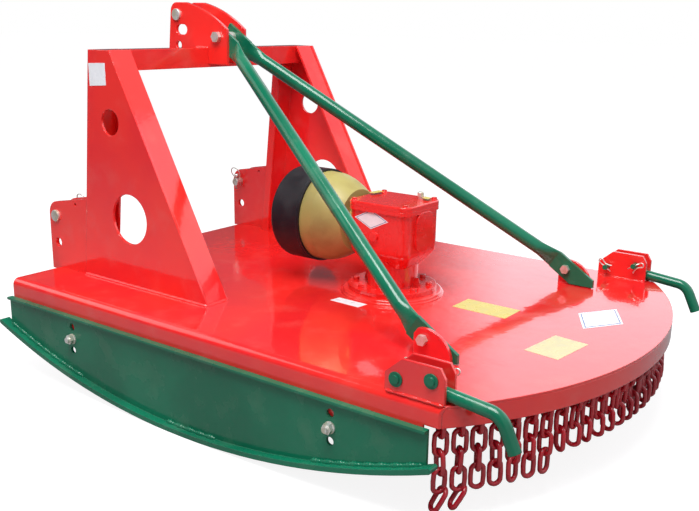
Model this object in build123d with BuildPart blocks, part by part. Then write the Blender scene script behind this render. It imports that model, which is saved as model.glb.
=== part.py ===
from build123d import *
from math import atan2, cos, radians, sin
import os

os.makedirs("parts", exist_ok=True)

# Rotary brush mower for a tractor's three-point linkage, in millimetres.
# X is to the machine's right, Y is forward to the tractor, Z is up from the ground.
# Plan positions are named as distances ahead of the rotor's axis, minus being behind it.
# Heights are above the ground, or above the deck where the name says so.

# Deck
deck_top = 281
deck_t = 6
deck_half_w = 625
deck_front = 950
rear_arc_centre = 198
rear_arc_r = 969
fold_r = 20
side_depth = 140
side_end = -505
band_depth = 50
band_t = 6
front_bar_depth = 40
shaft_opening_r = 80

# Headstock legs, folded channels
leg_x = 453
leg_t = 8
leg_h = 674
leg_foot_front = 827
leg_top_front = 758
leg_top_rear = 669
leg_foot_rear = 302
leg_front_w = 106
leg_rear_w = 83
leg_lip = 29
leg_rear_inset = 4
small_hole = dict(ahead=677, above=473, r=37.5)
large_hole = dict(ahead=611, above=200, r=73)

# Cross beam, a square tube between the legs
beam_w = 60
beam_h = 60
beam_wall = 5

# Top-link bracket, two plates that straddle the beam
bracket_x = 44
bracket_t = 10
bracket_front = 873
bracket_rear = 609
bracket_drop = 50
bracket_rise = 138
bracket_shoulder = 58
bracket_crown = (700, 111)
bracket_top_rear = 786
bracket_corner_r = 28
top_pin = dict(ahead=828, above=leg_h + 100, r=12.5)
slot_hole = dict(ahead=808, above=leg_h + 54, r=16, length=50)
top_free_hole = dict(ahead=823, above=leg_h + 5, r=12.9)
pin_slack = 0.3

# Lower hitch, a clevis in front of each leg
lug_t = 12
lug_span = 82
lug_top_rear_above = 236
lug_top_front_above = 203
lug_front = 990
lug_drop = 8
lug_corner_r = 40
lower_pin = dict(ahead=957, above=164, r=14)
lower_free_hole = dict(ahead=953, above=80, r=14.3)
tie_hole = dict(ahead=860, above=212, r=5)
pin_head_r = 18
pin_head_t = 7
pin_tail = 28

# Braces from the top-link bracket to the rear ears
brace_r = 20
strap_t = 10
strap_w = 58
strap_slack = 0.3
brace_bolt = dict(ahead=650, above=leg_h + 34, r=10)
ear_bolt = dict(ahead=-366, above=47, r=8)
strap_above_bolt = 32
strap_below_bolt = 71
strap_uphill = 46
squash_length = 62
strap_tip = -454
strap_floor = 3
bolt_hole_slack = 0.5
nut_t = 12
nut_across = 30

# Ears that carry the braces' lower ends
ear_x = 412
ear_t = 10
ear_centre = -368
ear_front = -340
ear_r = 75
ear_cut = 12
ear_nut_across = 24

# Rear brackets, two plates each, and the bent bars in them
rear_plate_inset = 7
rear_plate_x = deck_half_w - rear_plate_inset
rear_plate_t = 8
rear_plate_gap = 33
rear_front = -400
rear_back = -550
rear_h = 79
rear_front_h = 42
rear_top_front = -443
rear_top_back = -537
rear_back_h = 58
bar_r = 15
bar_pin = dict(ahead=-429, above=30)
stop_pin = dict(ahead=-517, above=48)
bar_pin_r = 8
bar_head_r = 17
bar_head_t = 3
bar_nub_r = 10
bar_nub_t = 4
bar_pin_tail = 22
bar_front = -412
bar_bend = (-668, 5)
bar_tip = (-703, -68)
bar_bend_r = 45

# Skids
skid_t = 8
skid_top = 225
skid_front = 960
skid_rear = -521
skid_flange_w = 10
skid_flange_t = 7
shoe_r = 2165
shoe_centre = 222
shoe_t = 13
shoe_w = 30
shoe_front = 990
shoe_rear = -545
skid_bolt_rows = (664, -265)
skid_bolt_z = 157
skid_hole_pitch = 34.5
skid_hole_r = 10.5
skid_bolt_r = 8
skid_washer_r = 15
skid_washer_t = 3
skid_head_t = 12
skid_head_r = 12
skid_stud = 7

# Gearbox
ring_r = 145
ring_t = 12
flange_r = 129
flange_t = 14
flange_bolt_circle = 108
flange_bolt_count = 8
flange_bolt_r = 6
neck_r = 74
neck_top_above = 85
body_w = 176
body_l = 200
body_top_above = 258
body_corner_r = 26
body_belly_h = 42
body_belly_in = 30
lip_w = 10
lip_t = 12
cover_t = 14
input_above = 193
front_boss_r = 50
front_boss_l = 25
rear_pad_w = 88
rear_pad_h = 112
rear_pad_r = 30
rear_pad_t = 7
side_plug_r = 14
side_plug_l = 7
side_plug_above = 177
side_plug_ahead = 8
neck_rib_t = 12
neck_rib_reach = 22
neck_rib_count = 4
breather_x = 56
breather_behind = 52
breather_r = 9
breather_h = 20

# Input shaft and its guard
input_r = 17.45
journal_r = 20
journal_reach = 2
input_inner = 50
input_end = 230
running_slack = 0.05
guard_wall = 4
guard_collar = 17
guard_back_r = 92
guard_shoulder = (163, 115.5)
guard_drum = (205, 131.5)
guard_r = 134
guard_end = 257
rim_wall = 6
rim_overlap = 14
rim_groove = 1.8
rim_shoulder = 335
rim_end = 357
rim_mouth_r = 121

# Rotor under the deck, with two blades that swing
rotor_shaft_r = 22
rotor_shaft_up = 123
rotor_nut_r = 34
rotor_nut_h = 20
hub_r = 55
hub_top = 186
carrier_w = 110
carrier_t = 16
carrier_bottom = 99
pivot_r = 350
pivot_boss_r = 28
pivot_bolt_r = 15
blade_reach = 230
blade_w = 70
blade_t = 10
blade_bottom = 79
blade_bevel = 5
blade_gap = 0.5
blade_head_r = 26
blade_head_t = 12
blade_nut_r = 22
blade_nut_t = 20

# How far a blind cut runs past what it clears
cut_over = 1

# Chain curtain behind the rear band
rail_r = 940
rail_side = 10
rail_z = 244
link_wire = 11
link_pitch = 44
link_inner_w = 18
link_slack = 0.4
strand_count = 30
strand_step = 2.7
strand_link_counts = (5, 5, 4, 4, 4, 4, 4, 3)
tab_t = 6
tab_w = 14
tab_step_count = 5
strand_group_names = ("left", "middle", "right")

# The origin is on the ground, half way between the foremost and the rearmost point.
rear_reach = rear_arc_r - rear_arc_centre
front_reach = max(lug_front, shoe_front)
rotor_y = (rear_reach - front_reach) / 2
sides = (("left", -1), ("right", 1))


def y_at(ahead):
    """Y of a place that lies so far ahead of the rotor's axis."""
    return rotor_y + ahead


def z_at(above):
    """Height of a place that lies so far above the deck."""
    return deck_top + above


def yz(ahead, above):
    """A point of a side view, ahead of the rotor's axis and above the deck."""
    return (y_at(ahead), z_at(above))


def spot(place):
    """The same for a named hole or pin."""
    return yz(place["ahead"], place["above"])


def side_plane(side, inner, outer):
    """Side-view plane at the lower X of a layer between two distances from the middle."""
    return Plane.YZ.offset(inner if side > 0 else -outer)


def save(piece, label):
    """Labels a finished piece and writes it."""
    piece.part.label = label
    export_step(piece.part, f"parts/{label}.step")


leg_lean = (leg_foot_front - leg_top_front) / leg_h


def leg_front_at(above):
    """Front face of the headstock legs at a height above the deck."""
    return leg_foot_front - leg_lean * above


# Deck: one plate with its sides folded down and its rear cut to an arc
section_plane = Plane.XZ.offset(-y_at(deck_front))
deck_length = deck_front + rear_reach
with BuildPart() as hollow:
    with BuildSketch(section_plane) as hollow_section:
        with Locations((0, deck_top - deck_t - side_depth / 2)):
            Rectangle(2 * (deck_half_w - deck_t), side_depth)
        fillet(hollow_section.vertices().group_by(Axis.Y)[-1], fold_r - deck_t)
    extrude(amount=deck_length)
with BuildPart() as deck:
    with BuildSketch(section_plane) as folded:
        with Locations((0, deck_top - side_depth / 2)):
            Rectangle(2 * deck_half_w, side_depth)
        fillet(folded.vertices().group_by(Axis.Y)[-1], fold_r)
    extrude(amount=deck_length)
    add(hollow.part, mode=Mode.SUBTRACT)
    with BuildSketch() as plan:
        with Locations((0, y_at(rear_arc_centre))):
            Circle(rear_arc_r)
            Rectangle(2 * deck_half_w, deck_front - rear_arc_centre, align=(Align.CENTER, Align.MIN))
        with Locations((0, y_at(-rear_reach))):
            Rectangle(2 * deck_half_w, deck_length, align=(Align.CENTER, Align.MIN), mode=Mode.INTERSECT)
    extrude(amount=deck_top, mode=Mode.INTERSECT)
    with BuildSketch(Plane.XY.offset(deck_top - side_depth)) as step_back:
        with Locations((0, y_at(side_end))):
            Rectangle(2 * deck_half_w, deck_length, align=(Align.CENTER, Align.MAX))
    extrude(amount=side_depth - band_depth, mode=Mode.SUBTRACT)
    with BuildSketch() as shaft_opening:
        with Locations((0, rotor_y)):
            Circle(shaft_opening_r)
    extrude(amount=deck_top, mode=Mode.SUBTRACT)
    with BuildSketch(Plane.YZ) as skid_bolt_holes:
        with Locations(*[(y_at(row), skid_bolt_z) for row in skid_bolt_rows]):
            Circle(skid_hole_r)
    extrude(amount=deck_half_w, both=True, mode=Mode.SUBTRACT)
save(deck, "deck_plate")

# Stiffening bar under the deck's front edge
with BuildPart() as front_bar:
    with BuildSketch(Plane.XY.offset(deck_top - deck_t - front_bar_depth)):
        with Locations((0, y_at(deck_front))):
            Rectangle(2 * (deck_half_w - deck_t), deck_t, align=(Align.CENTER, Align.MAX))
    extrude(amount=front_bar_depth)
    fillet(front_bar.edges().filter_by(Axis.X).group_by(Axis.Z)[0], deck_t / 3)
    # The plate's fold leaves round corners, which the bar's ends follow.
    add(hollow.part, mode=Mode.INTERSECT)
save(front_bar, "front_bar")

# Rear band: a curved flat bar under the edge of the arc, its ends cut in three flats to the folds
fold_inner_r = fold_r - deck_t
fold_corner = [
    (
        deck_half_w - fold_r + fold_inner_r * sin(radians(angle)),
        deck_top - fold_r + fold_inner_r * cos(radians(angle)),
    )
    for angle in (0, 30, 60, 90)
]
with BuildPart() as band:
    with BuildSketch(Plane.XY.offset(deck_top - band_depth)):
        with Locations((0, y_at(rear_arc_centre))):
            Circle(rear_arc_r)
            Circle(rear_arc_r - band_t, mode=Mode.SUBTRACT)
        with Locations((0, y_at(-rear_reach))):
            Rectangle(
                2 * (deck_half_w - deck_t),
                rear_reach,
                align=(Align.CENTER, Align.MIN),
                mode=Mode.INTERSECT,
            )
    extrude(amount=band_depth - deck_t)
    with BuildSketch(section_plane):
        Polygon(
            *fold_corner,
            (deck_half_w - deck_t, deck_top - band_depth),
            (deck_t - deck_half_w, deck_top - band_depth),
            *[(-x, z) for x, z in reversed(fold_corner)],
            align=None,
        )
    extrude(amount=deck_length, mode=Mode.INTERSECT)
save(band, "rear_band")

# Headstock legs: a web with two holes, a front flange with a lip, and a sloping rear flange
front_run = leg_t / cos(atan2(leg_foot_front - leg_top_front, leg_h))
rear_run = leg_t / cos(atan2(leg_top_rear - leg_foot_rear, leg_h))
for name, side in sides:
    with BuildPart() as leg:
        with BuildSketch(side_plane(side, leg_x - leg_t, leg_x)):
            Polygon(
                yz(leg_foot_front, 0),
                yz(leg_top_front, leg_h),
                yz(leg_top_rear, leg_h),
                yz(leg_foot_rear, 0),
                align=None,
            )
            for hole in (small_hole, large_hole):
                with Locations(spot(hole)):
                    Circle(hole["r"], mode=Mode.SUBTRACT)
        extrude(amount=leg_t)
        with BuildSketch(side_plane(side, leg_x - leg_front_w, leg_x)):
            Polygon(
                yz(leg_foot_front, 0),
                yz(leg_top_front, leg_h),
                yz(leg_top_front - front_run, leg_h),
                yz(leg_foot_front - front_run, 0),
                align=None,
            )
        extrude(amount=leg_front_w)
        with BuildSketch(side_plane(side, leg_x - leg_front_w, leg_x - leg_front_w + leg_t)):
            Polygon(
                yz(leg_foot_front, 0),
                yz(leg_top_front, leg_h),
                yz(leg_top_front - leg_lip, leg_h),
                yz(leg_foot_front - leg_lip, 0),
                align=None,
            )
        extrude(amount=leg_t)
        with BuildSketch(side_plane(side, leg_x - leg_rear_w, leg_x)):
            Polygon(
                yz(leg_foot_rear + leg_rear_inset, 0),
                yz(leg_top_rear + leg_rear_inset, leg_h),
                yz(leg_top_rear + leg_rear_inset + rear_run, leg_h),
                yz(leg_foot_rear + leg_rear_inset + rear_run, 0),
                align=None,
            )
        extrude(amount=leg_rear_w)
    save(leg, f"headstock_{name}")

# Cross beam between the webs, behind the front flanges
beam_front = leg_top_front - front_run
with BuildPart() as beam:
    with BuildSketch(Plane.YZ.offset(-(leg_x - leg_t))):
        with Locations(yz(beam_front, leg_h)):
            Rectangle(beam_w, beam_h, align=(Align.MAX, Align.MAX))
        with Locations(yz(beam_front - beam_wall, leg_h - beam_wall)):
            Rectangle(
                beam_w - 2 * beam_wall,
                beam_h - 2 * beam_wall,
                align=(Align.MAX, Align.MAX),
                mode=Mode.SUBTRACT,
            )
    extrude(amount=2 * (leg_x - leg_t))
    # The front flanges' lips pass the beam, so its front is cut back there.
    for name, side in sides:
        with BuildSketch(side_plane(side, leg_x - leg_front_w, leg_x - leg_front_w + leg_t)):
            Polygon(
                yz(leg_foot_front, 0),
                yz(leg_top_front, leg_h),
                yz(leg_top_front - leg_lip, leg_h),
                yz(leg_foot_front - leg_lip, 0),
                align=None,
            )
        extrude(amount=leg_t, mode=Mode.SUBTRACT)
save(beam, "cross_beam")

# Top-link bracket: quarter-round plates, notched over the beam
crown_top = leg_h + bracket_rise
for name, side in sides:
    with BuildPart() as plate:
        with BuildSketch(side_plane(side, bracket_x - bracket_t, bracket_x)) as outline:
            with BuildLine():
                front_foot = yz(bracket_front, leg_h - bracket_drop)
                front_top = yz(bracket_front - leg_lean * (bracket_rise + bracket_drop), crown_top)
                Line(front_foot, front_top)
                Line(front_top, yz(bracket_top_rear, crown_top))
                ThreePointArc(
                    yz(bracket_top_rear, crown_top),
                    yz(bracket_crown[0], leg_h + bracket_crown[1]),
                    yz(bracket_rear, leg_h + bracket_shoulder),
                )
                Polyline(
                    yz(bracket_rear, leg_h + bracket_shoulder),
                    yz(bracket_rear, leg_h - bracket_drop),
                    yz(beam_front - beam_w, leg_h - bracket_drop),
                    yz(beam_front - beam_w, leg_h),
                    yz(beam_front, leg_h),
                    yz(beam_front, leg_h - bracket_drop),
                    front_foot,
                )
            make_face()
            fillet(outline.vertices().group_by(Axis.Y)[-1].sort_by(Axis.X)[-1], bracket_corner_r)
            with Locations(spot(top_pin)):
                Circle(top_pin["r"] + pin_slack, mode=Mode.SUBTRACT)
            with Locations(spot(slot_hole)):
                SlotOverall(slot_hole["length"], 2 * slot_hole["r"], mode=Mode.SUBTRACT)
            with Locations(spot(top_free_hole)):
                Circle(top_free_hole["r"], mode=Mode.SUBTRACT)
            with Locations(spot(brace_bolt)):
                Circle(brace_bolt["r"] + bolt_hole_slack, mode=Mode.SUBTRACT)
        extrude(amount=bracket_t)
    save(plate, f"top_link_plate_{name}")

# Lower hitch lugs: an outer and an inner plate on each leg's front flange
for name, side in sides:
    with BuildPart() as lugs:
        for inner in (leg_x - lug_t, leg_x - lug_span):
            with BuildSketch(side_plane(side, inner, inner + lug_t)) as outline:
                Polygon(
                    yz(leg_front_at(0), 0),
                    yz(leg_front_at(lug_top_rear_above), lug_top_rear_above),
                    yz(lug_front, lug_top_front_above),
                    yz(lug_front, -lug_drop),
                    yz(deck_front, -lug_drop),
                    yz(deck_front, 0),
                    align=None,
                )
                corner = outline.vertices().sort_by_distance(yz(lug_front, lug_top_front_above) + (0,))[0]
                fillet(corner, lug_corner_r)
                with Locations(spot(lower_pin)):
                    Circle(lower_pin["r"] + pin_slack, mode=Mode.SUBTRACT)
                with Locations(spot(lower_free_hole)):
                    Circle(lower_free_hole["r"], mode=Mode.SUBTRACT)
                with Locations(spot(tie_hole)):
                    Circle(tie_hole["r"], mode=Mode.SUBTRACT)
            extrude(amount=lug_t)
    save(lugs, f"hitch_lugs_{name}")


def headed_pin(side, place, r, head_r, head_t, outer, inner):
    """A pin across a pair of plates: its head outside, its tail inside."""
    with BuildPart() as pin:
        with BuildSketch(side_plane(side, inner, outer)):
            with Locations(place):
                Circle(r)
        extrude(amount=outer - inner)
        with BuildSketch(side_plane(side, outer, outer + head_t)):
            with Locations(place):
                Circle(head_r)
        extrude(amount=head_t)
        ends = pin.edges().filter_by(GeomType.CIRCLE).group_by(Axis.X)
        chamfer(ends[0] + ends[-1], min(head_t, r) / 6)
    return pin


# Lower hitch pins
for name, side in sides:
    pin = headed_pin(
        side, spot(lower_pin), lower_pin["r"], pin_head_r, pin_head_t, leg_x, leg_x - lug_span - pin_tail
    )
    save(pin, f"lower_hitch_pin_{name}")

# Top-link pin, from the left plate's outside through both
pin = headed_pin(-1, spot(top_pin), top_pin["r"], pin_head_r, pin_head_t, bracket_x, -bracket_x - pin_tail)
save(pin, "top_link_pin")

# Braces: tubes squashed flat at both ends
strap_top_x = bracket_x - bracket_t - strap_slack - strap_t / 2
strap_low_x = ear_x - ear_t - strap_t / 2
slope = atan2(brace_bolt["above"] - ear_bolt["above"], brace_bolt["ahead"] - ear_bolt["ahead"])
for name, side in sides:
    downhill = Vector(0, -cos(slope), -sin(slope))
    upright = Vector(0, -sin(slope), cos(slope))
    bolt_top = Vector(side * strap_top_x, *spot(brace_bolt))
    bolt_low = Vector(side * strap_low_x, *spot(ear_bolt))
    squash_top = bolt_top + downhill * strap_below_bolt
    squash_low = bolt_low - downhill * strap_uphill
    run = (squash_low - squash_top).normalized()
    round_top = squash_top + run * squash_length
    round_low = squash_low - run * squash_length
    with BuildPart() as brace:
        with BuildSketch(Plane(origin=round_top, x_dir=(1, 0, 0), z_dir=run)):
            Circle(brace_r)
        extrude(amount=(round_low - round_top).length)
        for flat, full in ((squash_top, round_top), (squash_low, round_low)):
            with BuildSketch(Plane(origin=full, x_dir=(1, 0, 0), z_dir=run)):
                Circle(brace_r)
            with BuildSketch(Plane(origin=flat, x_dir=(1, 0, 0), z_dir=downhill)):
                RectangleRounded(strap_t, strap_w, strap_t * 0.45)
            loft()
        with BuildSketch(Plane.YZ.offset(side * strap_top_x)):
            Polygon(
                *[
                    ((p.Y, p.Z))
                    for p in (
                        squash_top + upright * strap_w / 2,
                        bolt_top - downhill * strap_above_bolt + upright * strap_w / 2,
                        bolt_top - downhill * strap_above_bolt - upright * strap_w / 2,
                        squash_top - upright * strap_w / 2,
                    )
                ],
                align=None,
            )
        extrude(amount=strap_t / 2, both=True)
        # The lower strap is cut upright at its tip and level just above the deck.
        upper_edge = bolt_low + upright * (strap_w / 2)
        lower_edge = bolt_low - upright * (strap_w / 2)
        tip_y = y_at(strap_tip)
        floor_z = z_at(strap_floor)
        tip_top = upper_edge + downhill * ((upper_edge.Y - tip_y) / cos(slope))
        heel = lower_edge + downhill * ((lower_edge.Z - floor_z) / sin(slope))
        with BuildSketch(Plane.YZ.offset(side * strap_low_x)):
            Polygon(
                (squash_low.Y + upright.Y * strap_w / 2, squash_low.Z + upright.Z * strap_w / 2),
                (squash_low.Y - upright.Y * strap_w / 2, squash_low.Z - upright.Z * strap_w / 2),
                (heel.Y, heel.Z),
                (tip_y, floor_z),
                (tip_y, tip_top.Z),
                align=None,
            )
        extrude(amount=strap_t / 2, both=True)
        with BuildSketch(Plane.YZ):
            with Locations(spot(brace_bolt)):
                Circle(brace_bolt["r"] + bolt_hole_slack)
            with Locations(spot(ear_bolt)):
                Circle(ear_bolt["r"] + bolt_hole_slack)
        extrude(amount=side * (ear_x + ear_t), mode=Mode.SUBTRACT)
    save(brace, f"brace_{name}")

# Bolt and spacer that hold both braces in the top-link bracket
with BuildPart() as top_bolt:
    with BuildSketch(Plane.YZ):
        with Locations(spot(brace_bolt)):
            Circle(brace_bolt["r"])
    extrude(amount=bracket_x + nut_t, both=True)
    with BuildSketch(Plane.YZ):
        with Locations(spot(brace_bolt)):
            Circle(brace_bolt["r"] * 1.6)
    extrude(amount=strap_top_x - strap_t / 2, both=True)
    for name, side in sides:
        with BuildSketch(side_plane(side, bracket_x, bracket_x + nut_t)):
            with Locations(spot(brace_bolt)):
                RegularPolygon(nut_across / 2, 6, major_radius=False)
        extrude(amount=nut_t)
save(top_bolt, "brace_top_bolt")

# Ears: rounded plates on the deck, each with its bolt
for name, side in sides:
    with BuildPart() as ear:
        with BuildSketch(side_plane(side, ear_x - ear_t, ear_x)) as outline:
            with Locations(yz(ear_centre, 0)):
                Circle(ear_r)
            with Locations(yz(ear_front, 0)):
                Rectangle(2 * ear_r, ear_r, align=(Align.MAX, Align.MIN), mode=Mode.INTERSECT)
            chamfer(outline.vertices().group_by(Axis.X)[-1].sort_by(Axis.Y)[-1], ear_cut)
            with Locations(spot(ear_bolt)):
                Circle(ear_bolt["r"] + bolt_hole_slack, mode=Mode.SUBTRACT)
        extrude(amount=ear_t)
    save(ear, f"brace_ear_{name}")
    with BuildPart() as bolt:
        for inner, outer in ((ear_x, ear_x + nut_t), (ear_x - ear_t - strap_t - nut_t, ear_x - ear_t - strap_t)):
            with BuildSketch(side_plane(side, inner, outer)):
                with Locations(spot(ear_bolt)):
                    RegularPolygon(ear_nut_across / 2, 6, major_radius=False)
            extrude(amount=nut_t)
        with BuildSketch(side_plane(side, ear_x - ear_t - strap_t - nut_t, ear_x)):
            with Locations(spot(ear_bolt)):
                Circle(ear_bolt["r"])
        extrude(amount=ear_t + strap_t + nut_t)
    save(bolt, f"ear_bolt_{name}")

# Rear brackets: two plates a bar's width apart
inner_plate_x = rear_plate_x - 2 * rear_plate_t - rear_plate_gap
for name, side in sides:
    with BuildPart() as plates:
        for inner in (rear_plate_x - rear_plate_t, inner_plate_x):
            with BuildSketch(side_plane(side, inner, inner + rear_plate_t)):
                Polygon(
                    yz(rear_front, 0),
                    yz(rear_front, rear_front_h),
                    yz(rear_top_front, rear_h),
                    yz(rear_top_back, rear_h),
                    yz(rear_back, rear_back_h),
                    yz(rear_back, 0),
                    align=None,
                )
                with Locations(spot(bar_pin), spot(stop_pin)):
                    Circle(bar_pin_r + pin_slack, mode=Mode.SUBTRACT)
            extrude(amount=rear_plate_t)
    save(plates, f"rear_bracket_{name}")

# Bracket pins: one through the bar, one over it as its stop
for name, side in sides:
    with BuildPart() as pins:
        for place in (bar_pin, stop_pin):
            with BuildSketch(side_plane(side, inner_plate_x - bar_pin_tail, rear_plate_x)):
                with Locations(spot(place)):
                    Circle(bar_pin_r)
            extrude(amount=rear_plate_x - inner_plate_x + bar_pin_tail)
            with BuildSketch(side_plane(side, rear_plate_x, rear_plate_x + bar_head_t)):
                with Locations(spot(place)):
                    Circle(bar_head_r)
            extrude(amount=bar_head_t)
            nub = rear_plate_x + bar_head_t
            with BuildSketch(side_plane(side, nub, nub + bar_nub_t)):
                with Locations(spot(place)):
                    Circle(bar_nub_r)
            extrude(amount=bar_nub_t)
    save(pins, f"bracket_pins_{name}")

# Bent bars, hooked down behind the deck
bar_slope = (bar_pin["above"] - bar_bend[1]) / (bar_pin["ahead"] - bar_bend[0])
bar_x = rear_plate_x - rear_plate_t - rear_plate_gap / 2
for name, side in sides:
    front_end = (bar_front, bar_pin["above"] + bar_slope * (bar_front - bar_pin["ahead"]))
    route = [(side * bar_x, *yz(*point)) for point in (front_end, bar_bend, bar_tip)]
    with BuildPart() as bar:
        with BuildLine() as path:
            FilletPolyline(*route, radius=bar_bend_r)
        with BuildSketch(Plane(origin=path.line @ 0, z_dir=path.line % 0)):
            Circle(bar_r)
        sweep()
        with BuildSketch(Plane.YZ):
            with Locations(spot(bar_pin)):
                Circle(bar_pin_r + pin_slack)
        extrude(amount=side * deck_half_w, mode=Mode.SUBTRACT)
    save(bar, f"bent_bar_{name}")

# Skids: a plate with a small top flange, and a thick curved shoe along its lower edge
shoe_up = (y_at(shoe_centre), shoe_r)
for name, side in sides:
    with BuildPart() as skid:
        with BuildSketch(side_plane(side, deck_half_w, deck_half_w + skid_t)):
            with Locations((y_at(skid_rear), 0)):
                Rectangle(skid_front - skid_rear, skid_top, align=(Align.MIN, Align.MIN))
            with Locations(shoe_up):
                Circle(shoe_r - shoe_t, mode=Mode.INTERSECT)
            holes = [
                (y_at(row), skid_bolt_z + step * skid_hole_pitch)
                for row in skid_bolt_rows
                for step in (-1, 0, 1)
            ]
            with Locations(*holes):
                Circle(skid_hole_r, mode=Mode.SUBTRACT)
        extrude(amount=skid_t)
        with BuildSketch(side_plane(side, deck_half_w, deck_half_w + skid_t + skid_flange_w)) as flange:
            with Locations((y_at(skid_rear), skid_top)):
                Rectangle(skid_front - skid_rear, skid_flange_t, align=(Align.MIN, Align.MAX))
        extrude(amount=skid_t + skid_flange_w)
        with BuildSketch(side_plane(side, deck_half_w, deck_half_w + shoe_w)):
            with Locations(shoe_up):
                Circle(shoe_r)
                Circle(shoe_r - shoe_t, mode=Mode.SUBTRACT)
            with Locations((y_at(shoe_rear), -1)):
                Rectangle(shoe_front - shoe_rear, shoe_r / 4, align=(Align.MIN, Align.MIN), mode=Mode.INTERSECT)
        extrude(amount=shoe_w)
        rims = skid.edges().filter_by(Axis.X).group_by(Axis.Y)
        fillet(rims[0] + rims[-1], shoe_t * 0.4)
    save(skid, f"skid_{name}")
    with BuildPart() as bolts:
        for row in skid_bolt_rows:
            layers = (
                (deck_half_w - deck_t - nut_t, deck_half_w - deck_t, skid_head_r),
                (deck_half_w - deck_t, deck_half_w + skid_t, skid_bolt_r),
                (deck_half_w + skid_t, deck_half_w + skid_t + skid_washer_t, skid_washer_r),
            )
            for inner, outer, r in layers:
                with BuildSketch(side_plane(side, inner, outer)):
                    with Locations((y_at(row), skid_bolt_z)):
                        Circle(r)
                extrude(amount=outer - inner)
            head = deck_half_w + skid_t + skid_washer_t
            with BuildSketch(side_plane(side, head, head + skid_head_t)):
                with Locations((y_at(row), skid_bolt_z)):
                    RegularPolygon(skid_head_r, 6, major_radius=False)
            extrude(amount=skid_head_t)
            stud = head + skid_head_t
            with BuildSketch(side_plane(side, stud, stud + skid_stud)):
                with Locations((y_at(row), skid_bolt_z)):
                    Circle(skid_bolt_r)
            extrude(amount=skid_stud)
    save(bolts, f"skid_bolts_{name}")

# Gearbox seat: a ring welded round the deck's opening
with BuildPart() as ring:
    with BuildSketch(Plane.XY.offset(deck_top)):
        with Locations((0, rotor_y)):
            Circle(ring_r)
            Circle(shaft_opening_r, mode=Mode.SUBTRACT)
    extrude(amount=ring_t)
    fillet(ring.edges().filter_by(GeomType.CIRCLE).group_by(Axis.Z)[-1].sort_by(SortBy.LENGTH)[-1], ring_t / 3)
save(ring, "gearbox_ring")

# Gearbox housing: a rounded block on a ribbed neck and flange
flange_z = deck_top + ring_t
input_z = z_at(input_above)
body_bottom = z_at(neck_top_above)
body_top = z_at(body_top_above)
with BuildPart() as housing:
    with BuildSketch(Plane.XY.offset(body_bottom)):
        with Locations((0, rotor_y)):
            RectangleRounded(body_w - 2 * body_belly_in, body_l - 2 * body_belly_in, body_corner_r)
    with BuildSketch(Plane.XY.offset(body_bottom + body_belly_h)):
        with Locations((0, rotor_y)):
            RectangleRounded(body_w, body_l, body_corner_r)
    loft()
    fillet(housing.faces().sort_by(Axis.Z)[0].edges(), body_corner_r / 2)
    with BuildSketch(Plane.XY.offset(body_bottom + body_belly_h)):
        with Locations((0, rotor_y)):
            RectangleRounded(body_w, body_l, body_corner_r)
    extrude(amount=body_top - body_bottom - body_belly_h)
    waist = housing.edges().filter_by_position(
        Axis.Z, body_bottom + body_belly_h - cut_over, body_bottom + body_belly_h + cut_over
    )
    fillet(waist, body_corner_r)
    with BuildSketch(Plane.XY.offset(body_top - lip_t)):
        with Locations((0, rotor_y)):
            RectangleRounded(body_w + lip_w, body_l + lip_w, body_corner_r + lip_w / 2)
    extrude(amount=lip_t)
    with BuildSketch(Plane.XY.offset(flange_z)):
        with Locations((0, rotor_y)):
            Circle(neck_r)
    extrude(amount=body_bottom - flange_z + body_belly_h / 2)
    with BuildSketch(Plane.XY.offset(flange_z)):
        with Locations((0, rotor_y)):
            Circle(flange_r)
            with PolarLocations(flange_bolt_circle, flange_bolt_count, start_angle=180 / flange_bolt_count):
                Circle(flange_bolt_r + bolt_hole_slack, mode=Mode.SUBTRACT)
    extrude(amount=flange_t)
    with BuildSketch(Plane.XY.offset(flange_z + flange_t)):
        with Locations((0, rotor_y)):
            with PolarLocations(neck_r, neck_rib_count, start_angle=0):
                Rectangle(2 * neck_rib_reach, neck_rib_t)
    extrude(amount=(body_bottom - flange_z - flange_t) * 0.7, taper=12)
    with BuildSketch(Plane.XZ.offset(-(rotor_y + body_l / 2))):
        with Locations((0, input_z)):
            Circle(front_boss_r)
    extrude(amount=-front_boss_l)
    with BuildSketch(Plane.XZ.offset(-(rotor_y - body_l / 2))):
        with Locations((0, input_z)):
            RectangleRounded(rear_pad_w, rear_pad_h, rear_pad_r)
    extrude(amount=rear_pad_t)
    with BuildSketch(Plane.YZ.offset(-body_w / 2)):
        with Locations(yz(side_plug_ahead, side_plug_above)):
            Circle(side_plug_r)
    extrude(amount=-side_plug_l)
    # Bores for the rotor's shaft from below and the input shaft from the front
    with BuildSketch(Plane.XY.offset(flange_z)):
        with Locations((0, rotor_y)):
            Circle(rotor_shaft_r + running_slack)
    extrude(amount=rotor_shaft_up - ring_t + cut_over, mode=Mode.SUBTRACT)
    with BuildSketch(Plane.XZ.offset(-y_at(input_inner - cut_over))):
        with Locations((0, input_z)):
            Circle(journal_r + running_slack)
    extrude(amount=-(body_l / 2 + front_boss_l), mode=Mode.SUBTRACT)
save(housing, "gearbox_housing")

# Gearbox cover with its four corner bolts
with BuildPart() as cover:
    with BuildSketch(Plane.XY.offset(body_top)):
        with Locations((0, rotor_y)):
            RectangleRounded(body_w + lip_w, body_l + lip_w, body_corner_r + lip_w / 2)
    extrude(amount=cover_t)
    fillet(cover.faces().sort_by(Axis.Z)[-1].edges(), cover_t / 4)
    with BuildSketch(Plane.XY.offset(body_top + cover_t)):
        with Locations((0, rotor_y)):
            with GridLocations(body_w - body_corner_r, body_l - body_corner_r, 2, 2):
                RegularPolygon(flange_bolt_r * 1.3, 6)
    extrude(amount=flange_bolt_r)
save(cover, "gearbox_cover")

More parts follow.
